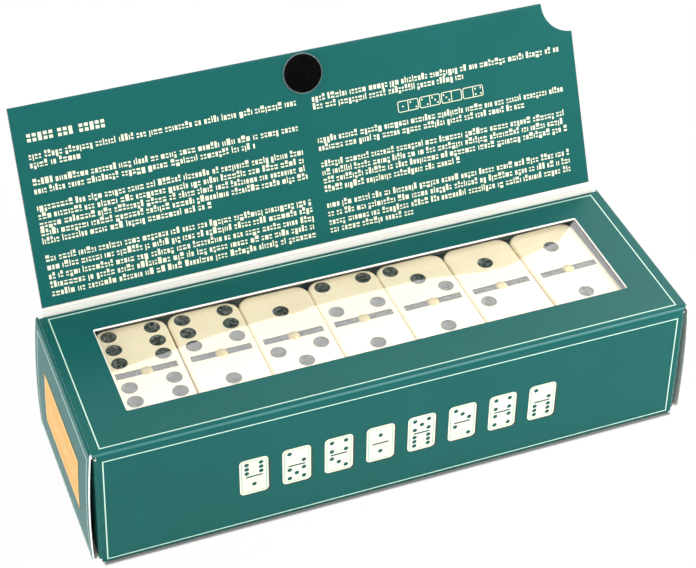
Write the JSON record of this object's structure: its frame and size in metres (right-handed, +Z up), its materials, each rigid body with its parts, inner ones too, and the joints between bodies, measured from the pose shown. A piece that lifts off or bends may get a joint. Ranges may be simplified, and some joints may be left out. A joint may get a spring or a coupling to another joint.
{
  "type": "domino storage box",
  "caption": "Folded board box with a hinged cover and a film window, holding a set of dominoes in a card tray, closed at each end by a panel, tuck tab and dust flaps.",
  "frame": {"origin": "middle of the flat base that the box stands on", "axes": "+X along the box to the end without the label, +Y to the back where the cover is hinged, +Z up"},
  "size_m": [0.2033, 0.0939, 0.1092],
  "materials": {
    "printed_board": "green laminated print outside, white uncoated board inside and at the cut edges, fine pale border lines",
    "raw_board": "uncoated white board",
    "clear_film": "thin clear glossy plastic film",
    "black_card": "matt black card",
    "tile": "polished ivory plastic with black painted pips and bar",
    "brass_pin": "polished",
    "clear_adhesive": "clear adhesive disc",
    "hook_pile": "black woven hook pile",
    "label_paper": "orange printed paper label with a pale edge"
  },
  "bodies": {
    "box": {"bottom_panel": "printed_board", "front_panel": "printed_board", "back_panel": "printed_board", "top_panel": "printed_board", "glue_seam": "raw_board", "window_film": "clear_film", "tray_floor": "black_card", "tray_front_wall": "black_card", "tray_back_wall": "black_card", "tray_left_shelf": "black_card", "tray_right_shelf": "black_card", "domino_6_6": "tile", "domino_6_1": "tile", "domino_1_5": "tile", "domino_4_1": "tile", "domino_3_1": "tile", "domino_1_2": "tile", "domino_1_1": "tile", "domino_0_0": "tile", "domino_0_1": "tile", "domino_0_2": "tile", "domino_0_3": "tile", "domino_0_4": "tile", "domino_0_5": "tile", "domino_0_6": "tile", "domino_2_2": "tile", "domino_2_3": "tile", "domino_2_4": "tile", "domino_2_5": "tile", "domino_2_6": "tile", "domino_3_3": "tile", "domino_3_4": "tile", "domino_3_5": "tile", "domino_3_6": "tile", "domino_4_4": "tile", "domino_4_5": "tile", "domino_4_6": "tile", "domino_5_5": "tile", "domino_5_6": "tile", "spinner_pins": "brass_pin"},
    "cover": {"cover_panel": "printed_board", "cover_liner": "printed_board", "dot_adhesive": "clear_adhesive", "hook_dot": "hook_pile"},
    "left_end": {"left_end_panel": "printed_board", "end_label": "label_paper"},
    "left_tab": {"left_tuck_tab": "printed_board"},
    "left_front_dust_flap": {"left_front_flap": "printed_board"},
    "left_back_dust_flap": {"left_back_flap": "printed_board"},
    "right_end": {"right_end_panel": "printed_board"},
    "right_tab": {"right_tuck_tab": "printed_board"},
    "right_front_dust_flap": {"right_front_flap": "printed_board"},
    "right_back_dust_flap": {"right_back_flap": "printed_board"}
  },
  "joints": [
    {"name": "cover_hinge", "type": "hinge", "parent": "box", "child": "cover", "pos_m": [0, 0.0332, 0.0484], "axis": [1, 0, 0], "range_deg": [-90, 113]},
    {"name": "left_end_hinge", "type": "hinge", "parent": "box", "child": "left_end", "pos_m": [-0.0982, 0, 0.0462], "axis": [0, 1, 0], "range_deg": [0, 110]},
    {"name": "left_tab_fold", "type": "hinge", "parent": "left_end", "child": "left_tab", "pos_m": [-0.101, 0, 0.0015], "axis": [0, 1, 0], "range_deg": [-33, 0]},
    {"name": "left_front_flap_hinge", "type": "hinge", "parent": "box", "child": "left_front_dust_flap", "pos_m": [-0.0977, -0.0332, 0.0235], "axis": [0, 0, 1], "range_deg": [0, 66]},
    {"name": "left_back_flap_hinge", "type": "hinge", "parent": "box", "child": "left_back_dust_flap", "pos_m": [-0.0977, 0.0332, 0.0235], "axis": [0, 0, -1], "range_deg": [0, 66]},
    {"name": "right_end_hinge", "type": "hinge", "parent": "box", "child": "right_end", "pos_m": [0.0982, 0, 0.0462], "axis": [0, -1, 0], "range_deg": [0, 110]},
    {"name": "right_tab_fold", "type": "hinge", "parent": "right_end", "child": "right_tab", "pos_m": [0.101, 0, 0.0015], "axis": [0, -1, 0], "range_deg": [-33, 0]},
    {"name": "right_front_flap_hinge", "type": "hinge", "parent": "box", "child": "right_front_dust_flap", "pos_m": [0.0977, -0.0332, 0.0235], "axis": [0, 0, -1], "range_deg": [0, 66]},
    {"name": "right_back_flap_hinge", "type": "hinge", "parent": "box", "child": "right_back_dust_flap", "pos_m": [0.0977, 0.0332, 0.0235], "axis": [0, 0, 1], "range_deg": [0, 66]}
  ],
  "couplings": [
    {"joint": "left_tab_fold", "follows": "left_end_hinge", "ratio": -0.3},
    {"joint": "left_front_flap_hinge", "follows": "left_end_hinge", "ratio": 0.6},
    {"joint": "left_back_flap_hinge", "follows": "left_end_hinge", "ratio": 0.6},
    {"joint": "right_tab_fold", "follows": "right_end_hinge", "ratio": -0.3},
    {"joint": "right_front_flap_hinge", "follows": "right_end_hinge", "ratio": 0.6},
    {"joint": "right_back_flap_hinge", "follows": "right_end_hinge", "ratio": 0.6}
  ]
}
